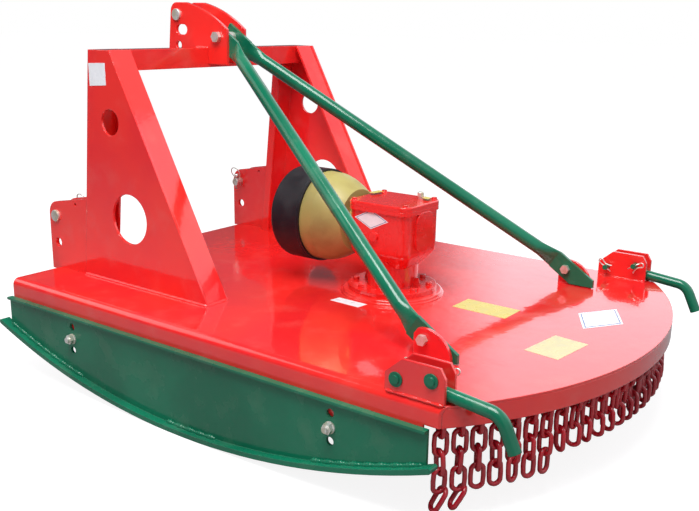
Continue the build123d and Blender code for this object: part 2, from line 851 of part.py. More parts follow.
# Breather plug on the cover
with BuildPart() as breather:
    with BuildSketch(Plane.XY.offset(body_top + cover_t)):
        with Locations((breather_x, rotor_y - breather_behind)):
            Circle(breather_r * 0.7)
    extrude(amount=breather_h / 3)
    with BuildSketch(Plane.XY.offset(body_top + cover_t + breather_h / 3)):
        with Locations((breather_x, rotor_y - breather_behind)):
            Circle(breather_r)
    extrude(amount=breather_h * 2 / 3)
    fillet(breather.faces().sort_by(Axis.Z)[-1].edges(), breather_r / 3)
save(breather, "breather_plug")

# Flange bolts
with BuildPart() as flange_bolts:
    with BuildSketch(Plane.XY.offset(flange_z)):
        with Locations((0, rotor_y)):
            with PolarLocations(flange_bolt_circle, flange_bolt_count, start_angle=180 / flange_bolt_count):
                Circle(flange_bolt_r)
    extrude(amount=flange_t)
    with BuildSketch(Plane.XY.offset(flange_z + flange_t)):
        with Locations((0, rotor_y)):
            with PolarLocations(flange_bolt_circle, flange_bolt_count, start_angle=180 / flange_bolt_count):
                RegularPolygon(flange_bolt_r * 1.6, 6)
    extrude(amount=flange_bolt_r * 1.5)
save(flange_bolts, "flange_bolts")

# Guard round the input shaft: a moulded drum on the front boss
boss_front = body_l / 2 + front_boss_l
axis_line = Axis((0, 0, input_z), (0, 1, 0))


def profile(ahead, r):
    """A point of a turned profile round the input shaft's axis."""
    return (y_at(ahead), input_z + r)


with BuildPart() as guard:
    with BuildSketch(Plane.YZ):
        with BuildLine():
            collar_r = front_boss_r + pin_slack
            inner_drum = profile(guard_drum[0], guard_drum[1] - guard_wall)
            inner_shoulder = profile(guard_shoulder[0] + guard_wall / 2, guard_shoulder[1] - guard_wall)
            inner_back = profile(boss_front + guard_wall, guard_back_r - guard_wall / 2)
            Polyline(
                inner_back,
                profile(boss_front + guard_wall, collar_r),
                profile(boss_front - guard_collar, collar_r),
                profile(boss_front - guard_collar, collar_r + guard_wall),
                profile(boss_front, collar_r + guard_wall),
                profile(boss_front, guard_back_r),
            )
            ThreePointArc(profile(boss_front, guard_back_r), profile(*guard_shoulder), profile(*guard_drum))
            Polyline(
                profile(*guard_drum),
                profile(guard_end, guard_r),
                profile(guard_end, guard_r - guard_wall),
                inner_drum,
            )
            ThreePointArc(inner_drum, inner_shoulder, inner_back)
        make_face()
    revolve(axis=axis_line)
save(guard, "pto_guard")

# Rubber rim pushed over the guard's open end
with BuildPart() as rim:
    with BuildSketch(Plane.YZ):
        with BuildLine():
            rim_start = guard_end - rim_overlap
            rim_inner = guard_r + pin_slack
            rim_outer = rim_inner + rim_wall
            groove = rim_start + rim_wall
            Polyline(
                profile(rim_start, rim_inner),
                profile(rim_start, rim_outer),
                profile(groove, rim_outer),
                profile(groove + rim_groove, rim_outer - rim_groove),
                profile(groove + 2 * rim_groove, rim_outer),
                profile(rim_shoulder, rim_outer),
            )
            ThreePointArc(
                profile(rim_shoulder, rim_outer),
                profile(rim_end - rim_wall, (2 * rim_outer + rim_mouth_r) / 3),
                profile(rim_end, rim_mouth_r),
            )
            Polyline(
                profile(rim_end, rim_mouth_r),
                profile(rim_end - rim_wall, rim_mouth_r),
                profile(rim_shoulder, rim_inner),
                profile(rim_start, rim_inner),
            )
        make_face()
    revolve(axis=axis_line)
save(rim, "pto_guard_rim")

# Input shaft
with BuildPart() as input_shaft:
    with BuildSketch(Plane.XZ.offset(-y_at(input_inner))):
        with Locations((0, input_z)):
            Circle(journal_r)
    extrude(amount=-(boss_front + journal_reach - input_inner))
    with BuildSketch(Plane.XZ.offset(-y_at(boss_front + journal_reach))):
        with Locations((0, input_z)):
            Circle(input_r)
    extrude(amount=-(input_end - boss_front - journal_reach))
    chamfer(input_shaft.faces().sort_by(Axis.Y)[-1].edges(), input_r / 10)
save(input_shaft, "input_shaft")

# Rotor: shaft with its nut, carrier with its hub and pivot bosses
with BuildPart() as rotor_shaft:
    with BuildSketch(Plane.XY.offset(carrier_bottom - rotor_nut_h)):
        with Locations((0, rotor_y)):
            RegularPolygon(rotor_nut_r, 6)
    extrude(amount=rotor_nut_h)
    with BuildSketch(Plane.XY.offset(carrier_bottom)):
        with Locations((0, rotor_y)):
            Circle(rotor_shaft_r)
    extrude(amount=z_at(rotor_shaft_up) - carrier_bottom)
save(rotor_shaft, "rotor_shaft")

with BuildPart() as carrier:
    with BuildSketch(Plane.XY.offset(carrier_bottom)):
        with Locations((0, rotor_y)):
            SlotOverall(2 * pivot_r + carrier_w, carrier_w)
    extrude(amount=carrier_t)
    with BuildSketch(Plane.XY.offset(carrier_bottom)):
        with Locations((0, rotor_y)):
            Circle(hub_r)
    extrude(amount=hub_top - carrier_bottom)
    with BuildSketch(Plane.XY.offset(blade_bottom + blade_t + blade_gap)):
        with Locations((-pivot_r, rotor_y), (pivot_r, rotor_y)):
            Circle(pivot_boss_r)
    extrude(amount=carrier_bottom - blade_bottom - blade_t - blade_gap)
    with BuildSketch():
        with Locations((0, rotor_y)):
            Circle(rotor_shaft_r + running_slack)
        with Locations((-pivot_r, rotor_y), (pivot_r, rotor_y)):
            Circle(pivot_bolt_r + running_slack)
    extrude(amount=deck_top, mode=Mode.SUBTRACT)
save(carrier, "rotor_carrier")

# Blade bolts: a wide head below, a nut on the carrier's top
with BuildPart() as blade_bolts:
    pivots = ((-pivot_r, rotor_y), (pivot_r, rotor_y))
    head_bottom = blade_bottom - blade_gap - blade_head_t
    carrier_top = carrier_bottom + carrier_t
    for bottom, top, r in (
        (head_bottom, blade_bottom - blade_gap, blade_head_r),
        (blade_bottom - blade_gap, carrier_top, pivot_bolt_r),
    ):
        with BuildSketch(Plane.XY.offset(bottom)):
            with Locations(*pivots):
                Circle(r)
        extrude(amount=top - bottom)
    with BuildSketch(Plane.XY.offset(carrier_top)):
        with Locations(*pivots):
            RegularPolygon(blade_nut_r, 6)
    extrude(amount=blade_nut_t)
save(blade_bolts, "blade_bolts")

# Swinging blades, bevelled along both long edges
for name, side in sides:
    with BuildPart() as blade:
        with BuildSketch(Plane.XY.offset(blade_bottom)) as outline:
            with Locations((side * pivot_r, rotor_y)):
                Circle(blade_w / 2)
            with Locations((side * (pivot_r + blade_reach / 2), rotor_y)):
                Rectangle(blade_reach, blade_w)
        extrude(amount=blade_t)
        chamfer(blade.edges().filter_by(Axis.X).group_by(Axis.Z)[-1], blade_bevel)
        with BuildSketch():
            with Locations((side * pivot_r, rotor_y)):
                Circle(pivot_bolt_r + running_slack)
        extrude(amount=deck_top, mode=Mode.SUBTRACT)
    save(blade, f"blade_{name}")

# Chain rail under the deck, on tabs, with its ends against the deck's folded sides
with BuildPart() as rail:
    with BuildSketch(Plane.XY.offset(rail_z - rail_side / 2)):
        with Locations((0, y_at(rear_arc_centre))):
            Circle(rail_r + rail_side / 2)
            Circle(rail_r - rail_side / 2, mode=Mode.SUBTRACT)
        with Locations((0, y_at(-rear_reach))):
            Rectangle(
                2 * (deck_half_w - deck_t),
                rear_reach,
                align=(Align.CENTER, Align.MIN),
                mode=Mode.INTERSECT,
            )
    extrude(amount=rail_side)
    for strand in range(tab_step_count - 1, strand_count - tab_step_count, tab_step_count):
        angle = (strand + 0.5 - (strand_count - 1) / 2) * strand_step
        with BuildSketch(Plane.XY.offset(rail_z)):
            with Locations((0, y_at(rear_arc_centre))):
                with PolarLocations(rail_r, 1, start_angle=angle - 90):
                    Rectangle(tab_w, tab_t)
        extrude(amount=deck_top - deck_t - rail_z)
save(rail, "chain_rail")

# One link: an eight-sided ring, as thick as its wire, standing on end
link_l = link_pitch + 2 * link_wire
link_w = link_inner_w + 2 * link_wire
with BuildPart() as link:
    with BuildSketch(Plane.XZ) as ring_face:
        Rectangle(link_w, link_l)
        chamfer(ring_face.vertices(), link_wire * 1.1)
        Rectangle(link_inner_w, link_pitch, mode=Mode.SUBTRACT)
    extrude(amount=link_wire / 2, both=True)

# Chain curtain: strands of such links, longer towards the corners
first_z = rail_z + rail_side / 2 + link_slack - link_pitch / 2
group_count = strand_count // len(strand_group_names)
for group, name in enumerate(strand_group_names):
    with BuildPart() as curtain:
        places = []
        for strand in range(group * group_count, (group + 1) * group_count):
            from_corner = min(strand, strand_count - 1 - strand)
            links = strand_link_counts[min(from_corner, len(strand_link_counts) - 1)]
            angle = (strand - (strand_count - 1) / 2) * strand_step
            x = rail_r * sin(radians(angle))
            y = y_at(rear_arc_centre) - rail_r * cos(radians(angle))
            for step in range(links):
                turn = angle + (90 if step % 2 == 0 else 0)
                z = first_z - step * (link_pitch - link_slack)
                places.append(Location((x, y, z), (0, 0, turn)))
        with Locations(*places):
            add(link.part)
    save(curtain, f"chain_curtain_{name}")
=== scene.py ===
import bpy
import math
import numpy as np
from mathutils import Matrix


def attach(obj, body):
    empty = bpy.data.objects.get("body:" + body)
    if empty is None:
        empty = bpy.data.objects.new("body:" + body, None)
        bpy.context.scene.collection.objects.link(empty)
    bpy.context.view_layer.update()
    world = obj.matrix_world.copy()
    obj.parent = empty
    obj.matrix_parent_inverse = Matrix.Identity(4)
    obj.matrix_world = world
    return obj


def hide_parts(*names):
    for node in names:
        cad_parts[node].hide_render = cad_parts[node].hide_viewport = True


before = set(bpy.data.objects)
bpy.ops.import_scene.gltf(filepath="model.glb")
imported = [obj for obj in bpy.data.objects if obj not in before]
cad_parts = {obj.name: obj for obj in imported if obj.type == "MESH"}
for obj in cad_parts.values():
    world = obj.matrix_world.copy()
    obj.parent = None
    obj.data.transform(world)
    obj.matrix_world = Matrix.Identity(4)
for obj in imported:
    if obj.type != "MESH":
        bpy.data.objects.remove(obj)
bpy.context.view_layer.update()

# Deck, headstock and every other red weldment.
# Folded and flame-cut steel plate, welded up, then sprayed with one thick
# coat of glossy red enamel that pools a little and shows faint orange peel.


def surface_group(name, sockets):
    """A shader group with these inputs: (tree, its input sockets, its output node, object coordinates)."""
    tree = bpy.data.node_groups.new(name, "ShaderNodeTree")
    for label, value in sockets.items():
        kind = "NodeSocketFloat" if isinstance(value, float) else "NodeSocketColor"
        tree.interface.new_socket(name=label, in_out="INPUT", socket_type=kind).default_value = value
    for label, kind in (("Color", "Color"), ("Roughness", "Float"), ("Height", "Float")):
        tree.interface.new_socket(name=label, in_out="OUTPUT", socket_type="NodeSocket" + kind)
    given = tree.nodes.new("NodeGroupInput").outputs
    ends = tree.nodes.new("NodeGroupOutput")
    where = tree.nodes.new("ShaderNodeTexCoord").outputs["Object"]
    return tree, given, ends, where


def carry_out(tree, ends, color, roughness, height):
    """Links the three results of a surface group to its output node."""
    for label, source in (("Color", color), ("Roughness", roughness), ("Height", height)):
        tree.links.new(source, ends.inputs[label])


def feed(tree, socket, value):
    """Links a socket to another input, or sets that input to a plain value."""
    if hasattr(value, "links"):
        tree.links.new(value, socket)
    else:
        socket.default_value = value


def noise(tree, vector, scale, detail):
    """A noise texture on that vector: fac from 0 to 1, with that many bumps per metre."""
    node = tree.nodes.new("ShaderNodeTexNoise")
    node.inputs["Scale"].default_value = scale
    node.inputs["Detail"].default_value = detail
    tree.links.new(vector, node.inputs["Vector"])
    return node.outputs["Fac"]


def ramp(tree, value, low, high, out_low, out_high):
    """Value from low..high carried to out_low..out_high, smoothly and clamped."""
    node = tree.nodes.new("ShaderNodeMapRange")
    node.interpolation_type = "SMOOTHSTEP"
    ends = (("From Min", low), ("From Max", high), ("To Min", out_low), ("To Max", out_high))
    for label, number in ends:
        feed(tree, node.inputs[label], number)
    tree.links.new(value, node.inputs["Value"])
    return node.outputs["Result"]


def arith(tree, operation, a, b):
    """a and b, sockets or numbers, put through one math operation."""
    node = tree.nodes.new("ShaderNodeMath")
    node.operation = operation
    feed(tree, node.inputs[0], a)
    feed(tree, node.inputs[1], b)
    return node.outputs["Value"]


def mixed(tree, fac, a, b):
    """Colour a where fac is 0 and colour b where it is 1."""
    node = tree.nodes.new("ShaderNodeMix")
    node.data_type = "RGBA"
    tree.links.new(fac, node.inputs["Factor"])
    feed(tree, node.inputs[6], a)
    feed(tree, node.inputs[7], b)
    return node.outputs[2]


enamel, given, ends, where = surface_group(
    "sprayed_enamel",
    {
        "Paint": (0.8, 0.02, 0.02, 1),
        "Thin Coat": (0.6, 0.01, 0.02, 1),
        "Gloss": 0.2,
        "Dullness": 0.4,
        "Peel": 0.3,
    },
)
cloud = noise(enamel, where, 4.0, 4.0)
swell = noise(enamel, where, 26.0, 2.0)
peel = noise(enamel, where, 520.0, 1.0)
speck = noise(enamel, where, 1400.0, 2.0)
dulled = noise(enamel, where, 11.0, 5.0)
thinned = ramp(enamel, cloud, 0.36, 0.66, 0.0, 1.0)
base = mixed(enamel, thinned, given["Paint"], given["Thin Coat"])
dusty = ramp(enamel, dulled, 0.5, 0.75, 0.0, 0.10)
dust = arith(enamel, "MULTIPLY", dusty, ramp(enamel, speck, 0.45, 0.7, 0.3, 1.0))
dust_colour = (0.55, 0.47, 0.38, 1)
peeled = arith(enamel, "MULTIPLY", peel, given["Peel"])
waves = arith(enamel, "ADD", arith(enamel, "MULTIPLY", swell, 1.6), peeled)
carry_out(
    enamel,
    ends,
    mixed(enamel, dust, base, dust_colour),
    ramp(enamel, dulled, 0.35, 0.75, given["Gloss"], given["Dullness"]),
    waves,
)


def finish_of(
    name, group, values, depth, metallic=0.0, coat=0.0, coat_rough=0.05, specular=0.5, edge=0.0
):
    """A material whose colour, roughness and bump come from a group with these values.

    Depth is the height of its bumps and edge the radius that sharp edges seem to have, both in metres.
    """
    made = bpy.data.materials.new(name)
    made.use_nodes = True
    tree = made.node_tree
    shader = tree.nodes["Principled BSDF"]
    shader.inputs["Metallic"].default_value = metallic
    shader.inputs["Coat Weight"].default_value = coat
    shader.inputs["Coat Roughness"].default_value = coat_rough
    shader.inputs["Specular IOR Level"].default_value = specular
    effect = tree.nodes.new("ShaderNodeGroup")
    effect.node_tree = group
    for label, value in values.items():
        effect.inputs[label].default_value = value
    bump = tree.nodes.new("ShaderNodeBump")
    bump.inputs["Distance"].default_value = depth
    bump.inputs["Strength"].default_value = 1.0
    tree.links.new(effect.outputs["Height"], bump.inputs["Height"])
    if edge:
        rounded = tree.nodes.new("ShaderNodeBevel")
        rounded.inputs["Radius"].default_value = edge
        tree.links.new(rounded.outputs["Normal"], bump.inputs["Normal"])
        tree.links.new(bump.outputs["Normal"], shader.inputs["Coat Normal"])
    tree.links.new(bump.outputs["Normal"], shader.inputs["Normal"])
    tree.links.new(effect.outputs["Color"], shader.inputs["Base Color"])
    tree.links.new(effect.outputs["Roughness"], shader.inputs["Roughness"])
    return made


def dress(material, *nodes):
    """Gives CAD nodes that material in every slot."""
    for node in nodes:
        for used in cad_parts[node].material_slots:
            used.material = material


red = finish_of(
    "red_enamel",
    enamel,
    {
        "Paint": (0.86, 0.026, 0.020, 1),
        "Thin Coat": (0.80, 0.018, 0.022, 1),
        "Gloss": 0.10,
        "Dullness": 0.22,
        "Peel": 0.04,
    },
    depth=0.00022,
    coat=1.0,
    coat_rough=0.03,
    edge=0.0035,
)
dress(
    red,
    "deck_plate", "front_bar", "rear_band", "chain_rail", "headstock_left", "headstock_right",
    "cross_beam", "top_link_plate_left", "top_link_plate_right", "hitch_lugs_left", "hitch_lugs_right",
    "brace_ear_left", "brace_ear_right", "rear_bracket_left", "rear_bracket_right", "gearbox_ring",
    "rotor_carrier", "flange_bolts",
)

# Weld beads on the red weldments.
# Hand-laid fillet welds where plate stands on plate: low rounded ropes with
# a ripple every few millimetres, painted over with the same red.


def grid_faces(rows, columns, closed_rows=False):
    """Quads of a rows by columns grid whose columns close round, and whose rows may."""
    here = np.arange(rows if closed_rows else rows - 1)[:, None] * columns
    following = (here + columns) % (rows * columns)
    j = np.arange(columns)[None, :]
    beside = (j + 1) % columns
    quads = np.stack([here + j, here + beside, following + beside, following + j], -1)
    return quads.reshape(-1, 4)


def added(name, data):
    """A new object in the scene that carries this mesh, lamp or camera."""
    thing = bpy.data.objects.new(name, data)
    bpy.context.scene.collection.objects.link(thing)
    return thing


def put(name, points, faces, material, body="frame", smooth=True):
    """One mesh piece with that material that rides on a body."""
    mesh = bpy.data.meshes.new(name)
    corners = np.asarray(points, float).reshape(-1, 3).tolist()
    mesh.from_pydata(corners, [], [list(map(int, f)) for f in faces])
    mesh.update()
    mesh.polygons.foreach_set("use_smooth", [smooth] * len(mesh.polygons))
    mesh.materials.append(material)
    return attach(added(name, mesh), body)


def carried(path, radii, sides=8, closed=False, up=(0, 0, 1)):
    """A round section of given radii carried along a path: each ring lies across the path's direction."""
    path = np.asarray(path, float)
    ahead = np.roll(path, -1, 0) - np.roll(path, 1, 0)
    if not closed:
        ahead[0] = path[1] - path[0]
        ahead[-1] = path[-1] - path[-2]
    ahead /= np.linalg.norm(ahead, axis=1)[:, None]
    across = np.cross(ahead, up)
    short = np.linalg.norm(across, axis=1) < 1e-6
    across[short] = np.cross(ahead[short], (1, 0, 0))
    across /= np.linalg.norm(across, axis=1)[:, None]
    over = np.cross(across, ahead)
    turn = np.linspace(0, 2 * np.pi, sides, endpoint=False)
    radii = np.broadcast_to(radii, len(path))[:, None, None]
    ring = np.cos(turn)[None, :, None] * across[:, None] + np.sin(turn)[None, :, None] * over[:, None]
    points = (path[:, None] + radii * ring).reshape(-1, 3)
    faces = [list(f) for f in grid_faces(len(path), sides, closed)]
    if not closed:
        faces.append(list(range(sides))[::-1])
        faces.append(list(range(len(points) - sides, len(points))))
    return points, faces


def joined(shapes):
    """Several (points, faces) shapes as one."""
    points, faces, start = [], [], 0
    for shape_points, shape_faces in shapes:
        points.append(np.asarray(shape_points, float).reshape(-1, 3))
        faces += [[int(v) + start for v in f] for f in shape_faces]
        start += len(points[-1])
    return np.concatenate(points), faces


def waving(run, height, length, phase=0.0):
    """A sine of that height and wave length along a run, both ends in metres."""
    return height * np.sin(run / length * 2 * np.pi + phase)


def tapered(run, length):
    """How full a weld is along its run: it thins out over the last 6 mm at both ends."""
    return np.sqrt(np.clip(np.minimum(run, length - run) / 0.006, 0.05, 1))


def bead(start, end, r, phase):
    """A weld from start to end: its radius swells and dips with each ripple, and tapers at both ends."""
    start, end = np.asarray(start, float), np.asarray(end, float)
    length = np.linalg.norm(end - start)
    t = np.linspace(0, 1, max(8, int(length / 0.0022)))
    ripple = 1 + waving(t * length, 0.13, 0.0065) + waving(t * length, 0.10, 0.031, phase)
    path = start + (end - start) * t[:, None]
    return carried(path, r * ripple * tapered(t * length, length), sides=7)


# Distances forward are given from the rotor's axis, which stands at y = shift.
shift = -0.1095
deck_z = 0.281
leg_x, leg_front, leg_rear = 0.4535, 0.827 + shift, 0.302 + shift
leg_front_inner_x, leg_rear_inner_x = 0.348, 0.371
long_bead_r, short_bead_r = 0.0062, 0.0056
# Hitch lugs, brace ears, rear brackets and top link plates, in that order. Each row has the x of the
# welded faces, the weld's first and last (y, z), its radius, and the ripple's phase per metre of x.
plate_welds = (
    ((0.4415, 0.3705), (0.826, deck_z + 0.004), (0.804, deck_z + 0.232), 0.004, 90),
    ((0.4125, 0.4015), (-0.342, deck_z), (-0.441, deck_z), 0.004, 70),
    ((0.6185, 0.6095, 0.5775, 0.5685), (-0.402, deck_z), (-0.548, deck_z), 0.0035, 50),
    ((0.0445, 0.0335), (0.692, 0.955), (0.746, 0.955), 0.0045, 600),
)
beads = []
for side in (-1, 1):
    leg = side * leg_x
    front, rear = leg_front + 0.001, leg_rear + 0.003
    beads.append(bead((leg, leg_rear, deck_z), (leg, leg_front, deck_z), long_bead_r, 1))
    beads.append(bead((leg, front, deck_z), (side * leg_front_inner_x, front, deck_z), short_bead_r, 2))
    beads.append(bead((leg, rear, deck_z), (side * leg_rear_inner_x, rear, deck_z), short_bead_r, 3))
    for faces_x, (y0, z0), (y1, z1), r, phase in plate_welds:
        for x in faces_x:
            beads.append(bead((side * x, y0 + shift, z0), (side * x, y1 + shift, z1), r, x * phase))
put("frame_welds", *joined(beads), red)

ring_weld_r, ring_steps = 0.1455, 180
around = np.linspace(0, 2 * np.pi, ring_steps, endpoint=False)
ring_path = np.stack(
    [
        ring_weld_r * np.cos(around),
        shift + ring_weld_r * np.sin(around),
        np.full(ring_steps, deck_z + 0.001),
    ],
    -1,
)
ring_ripples = 75
ring_radii = 0.0048 * (1 + 0.12 * np.sin(around * ring_ripples))
put("ring_weld", *carried(ring_path, ring_radii, sides=7, closed=True), red)

# Skids, braces, bent bars and bracket pins.
# Cut plate and bar sprayed dark green before they are bolted or pinned on.
# Each skid's shoe is held by long fillet welds along the plate's lower edge.
green = finish_of(
    "green_enamel",
    enamel,
    {
        "Paint": (0.005, 0.165, 0.085, 1),
        "Thin Coat": (0.004, 0.125, 0.064, 1),
        "Gloss": 0.18,
        "Dullness": 0.34,
        "Peel": 0.06,
    },
    depth=0.0003,
    coat=0.45,
    specular=0.3,
    edge=0.0025,
)
dress(
    green,
    "skid_left", "skid_right", "brace_left", "brace_right", "bent_bar_left", "bent_bar_right",
    "bracket_pins_left", "bracket_pins_right",
)

shoe_r, shoe_centre, shoe_t, shoe_weld_x = 2.165, 0.222 + shift, 0.013, 0.6335
skid_runs = ((0.957, 0.623), (0.281, 0.100), (-0.210, -0.513))
skid_beads = []
for side in (-1, 1):
    for first, last in skid_runs:
        y = np.linspace(first + shift, last + shift, int(abs(first - last) / 0.0024))
        z = shoe_r - np.sqrt((shoe_r - shoe_t) ** 2 - (y - shoe_centre) ** 2)
        run = np.abs(y - y[0])
        ripple = 1 + waving(run, 0.20, 0.008) + waving(run, 0.22, 0.037, side)
        path = np.stack([np.full_like(y, side * shoe_weld_x), y, z + 0.001], -1)
        skid_beads.append(carried(path, long_bead_r * ripple * tapered(run, run[-1])))
put("skid_welds", *joined(skid_beads), green)

# Gearbox.
# A cast-iron bevel box and its cover, painted red over their sand-cast skin.
casting, given, ends, where = surface_group(
    "painted_casting", {"Paint": (0.8, 0.02, 0.02, 1), "Pits": (0.3, 0.01, 0.01, 1)}
)
sand = noise(casting, where, 320.0, 4.0)
lumps = noise(casting, where, 42.0, 3.0)
pits = ramp(casting, noise(casting, where, 150.0, 2.0), 0.58, 0.70, 0.0, 0.25)
carry_out(
    casting,
    ends,
    mixed(casting, pits, given["Paint"], given["Pits"]),
    ramp(casting, lumps, 0.35, 0.7, 0.14, 0.30),
    arith(casting, "ADD", sand, arith(casting, "MULTIPLY", lumps, 2.0)),
)
cast_red = finish_of(
    "red_casting",
    casting,
    {"Paint": (0.80, 0.013, 0.011, 1), "Pits": (0.70, 0.010, 0.010, 1)},
    depth=0.00015,
    coat=0.8,
    edge=0.003,
)
dress(cast_red, "gearbox_housing", "gearbox_cover")

# Zinc-plated bolts and pins, and bare steel.
# Bright zinc with the faint yellow and blue bloom of passivation over fine
# turning marks. The shafts are bare machined steel and the blades scorched.
plating, given, ends, where = surface_group(
    "plated_metal",
    {"Metal": (0.6, 0.6, 0.58, 1), "Bloom": (0.5, 0.45, 0.3, 1), "Polish": 0.28, "Wear": 0.5},
)
patches = noise(plating, where, 60.0, 3.0)
scratches = noise(plating, where, 700.0, 3.0)
carry_out(
    plating,
    ends,
    mixed(plating, ramp(plating, patches, 0.4, 0.65, 0.0, 1.0), given["Metal"], given["Bloom"]),
    ramp(plating, scratches, 0.3, 0.75, given["Polish"], given["Wear"]),
    scratches,
)
zinc = finish_of(
    "zinc_plate",
    plating,
    {"Metal": (0.80, 0.80, 0.77, 1), "Bloom": (0.66, 0.63, 0.50, 1)},
    depth=0.0001,
    metallic=0.7,
)
dress(
    zinc,
    "lower_hitch_pin_left", "lower_hitch_pin_right", "top_link_pin", "brace_top_bolt",
    "ear_bolt_left", "ear_bolt_right", "skid_bolts_left", "skid_bolts_right", "breather_plug",
)
bright = finish_of(
    "bare_steel",
    plating,
    {"Metal": (0.52, 0.51, 0.50, 1), "Bloom": (0.40, 0.37, 0.33, 1), "Polish": 0.3, "Wear": 0.55},
    depth=0.0001,
    metallic=1.0,
)
dress(bright, "input_shaft", "rotor_shaft", "blade_bolts")
scorched = finish_of(
    "blade_steel",
    plating,
    {"Metal": (0.30, 0.29, 0.28, 1), "Bloom": (0.21, 0.15, 0.11, 1), "Polish": 0.35, "Wear": 0.7},
    depth=0.0002,
    metallic=0.9,
)
dress(scorched, "blade_left", "blade_right")

# Input shaft guard.
# A blow-moulded mustard drum with a thick black rubber rim pushed over it.
moulded, given, ends, where = surface_group(
    "moulded_skin",
    {"Body": (0.7, 0.5, 0.1, 1), "Grime": (0.4, 0.3, 0.1, 1), "Sheen": 0.35, "Chalk": 0.6},
)
smears = noise(moulded, where, 14.0, 5.0)
carry_out(
    moulded,
    ends,
    mixed(moulded, ramp(moulded, smears, 0.45, 0.72, 0.0, 1.0), given["Body"], given["Grime"]),
    ramp(moulded, smears, 0.3, 0.7, given["Sheen"], given["Chalk"]),
    noise(moulded, where, 480.0, 3.0),
)
mustard = finish_of(
    "mustard_plastic",
    moulded,
    {"Body": (0.40, 0.345, 0.105, 1), "Grime": (0.33, 0.27, 0.080, 1)},
    depth=0.0003,
)
black_rubber = finish_of(
    "black_rubber",
    moulded,
    {
        "Body": (0.007, 0.008, 0.013, 1),
        "Grime": (0.018, 0.019, 0.023, 1),
        "Sheen": 0.38,
        "Chalk": 0.62,
    },
    depth=0.0005,
)
dress(mustard, "pto_guard")
dress(black_rubber, "pto_guard_rim")

# Chain curtain.
# Welded round-link chain in strands of falling length, hung on a rod under
# the deck's rear edge and sprayed the same red as the deck, a bit thinner.
chain_red = finish_of(
    "chain_enamel",
    enamel,
    {
        "Paint": (0.60, 0.010, 0.022, 1),
        "Thin Coat": (0.42, 0.006, 0.018, 1),
        "Gloss": 0.18,
        "Dullness": 0.4,
        "Peel": 0.4,
    },
    depth=0.0003,
    coat=0.6,
)


def spun(points, first, second, angle):
    """Points turned by an angle in radians in the plane of two axes, from the first towards the second."""
    turned = points.copy()
    turned[:, first] = points[:, first] * math.cos(angle) - points[:, second] * math.sin(angle)
    turned[:, second] = points[:, first] * math.sin(angle) + points[:, second] * math.cos(angle)
    return turned


wire_r, bend_r, straight = 0.0057, 0.0145, 0.0128
bend_steps, wire_sides = 18, 8
along = np.linspace(0, 2 * np.pi, bend_steps, endpoint=False)
round_wire = np.linspace(0, 2 * np.pi, wire_sides, endpoint=False)
centre_x = bend_r * np.cos(along)
centre_z = bend_r * np.sin(along) + straight * np.sign(np.round(np.sin(along), 6))
# Each ring of the wire faces outwards from the bend that it belongs to.
link_x = centre_x[:, None] + wire_r * np.cos(round_wire)[None] * np.cos(along)[:, None]
link_z = centre_z[:, None] + wire_r * np.cos(round_wire)[None] * np.sin(along)[:, None]
link_y = np.broadcast_to(wire_r * np.sin(round_wire)[None], link_x.shape)
one_link = np.stack([link_x, link_y, link_z], -1).reshape(-1, 3)
link_faces = grid_faces(bend_steps, wire_sides, closed_rows=True)[:, ::-1]

strands, strand_step, rail_r, rail_y = 30, 2.7, 0.940, 0.198 + shift
top_z, link_pitch = 0.2274, 0.0436
# How many links a strand has, counted from the nearest corner of the deck inwards.
lengths = (5, 5, 4, 4, 4, 4, 4, 3)
# Largest angles in degrees: a strand's twist, a link's turn and lean, and the kick of the corner strands.
most_twist, most_turn, most_lean, corner_kick = 28, 6, 3, 32
sway = np.random.default_rng(7)
thirds = {"left": [], "middle": [], "right": []}
for strand in range(strands):
    from_corner = min(strand, strands - 1 - strand)
    angle = math.radians((strand - (strands - 1) / 2) * strand_step)
    top = np.array([rail_r * math.sin(angle), rail_y - rail_r * math.cos(angle), top_z])
    twist = math.radians(sway.uniform(-most_twist, most_twist))
    count = lengths[min(from_corner, len(lengths) - 1)]
    for step in range(count):
        crossed = math.pi / 2 if step % 2 == 0 else 0
        loose = math.radians(sway.uniform(-most_turn, most_turn))
        kicked = step == count - 1 and from_corner < 2
        lean = math.radians(corner_kick if kicked else sway.uniform(-most_lean, most_lean))
        shape = spun(one_link, 1, 2, lean)
        shape = spun(shape, 0, 1, angle + twist * min(step, 2) / 2 + crossed + loose)
        third = list(thirds)[strand * 3 // strands]
        thirds[third].append((shape + top - (0, 0, step * link_pitch), link_faces))
for third, links in thirds.items():
    piece = put(f"chain_links_{third}", *joined(links), chain_red)
    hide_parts(f"chain_curtain_{third}")

# Blank films.
# Thin vinyl without any print: patches on the deck and the gearbox's cover,
# a diamond on each, and a small white one at the top of the left leg.
vinyl, given, ends, where = surface_group(
    "vinyl_film", {"Film": (0.8, 0.8, 0.8, 1), "Worn": (0.7, 0.7, 0.7, 1)}
)
rub = noise(vinyl, where, 35.0, 4.0)
carry_out(
    vinyl,
    ends,
    mixed(vinyl, ramp(vinyl, rub, 0.4, 0.7, 0.0, 1.0), given["Film"], given["Worn"]),
    ramp(vinyl, rub, 0.3, 0.7, 0.22, 0.45),
    noise(vinyl, where, 90.0, 2.0),
)


def film_of(name, fresh, worn):
    """A vinyl film of one colour that is slightly another where it is worn."""
    return finish_of(name, vinyl, {"Film": (*fresh, 1), "Worn": (*worn, 1)}, depth=0.0002)


white_film = film_of("white_film", (0.84, 0.87, 0.90), (0.78, 0.81, 0.84))
yellow_film = film_of("yellow_film", (0.60, 0.51, 0.12), (0.58, 0.51, 0.20))
cream_film = film_of("cream_film", (0.58, 0.53, 0.27), (0.56, 0.52, 0.33))
blue_film = film_of("blue_film", (0.05, 0.12, 0.34), (0.08, 0.16, 0.36))


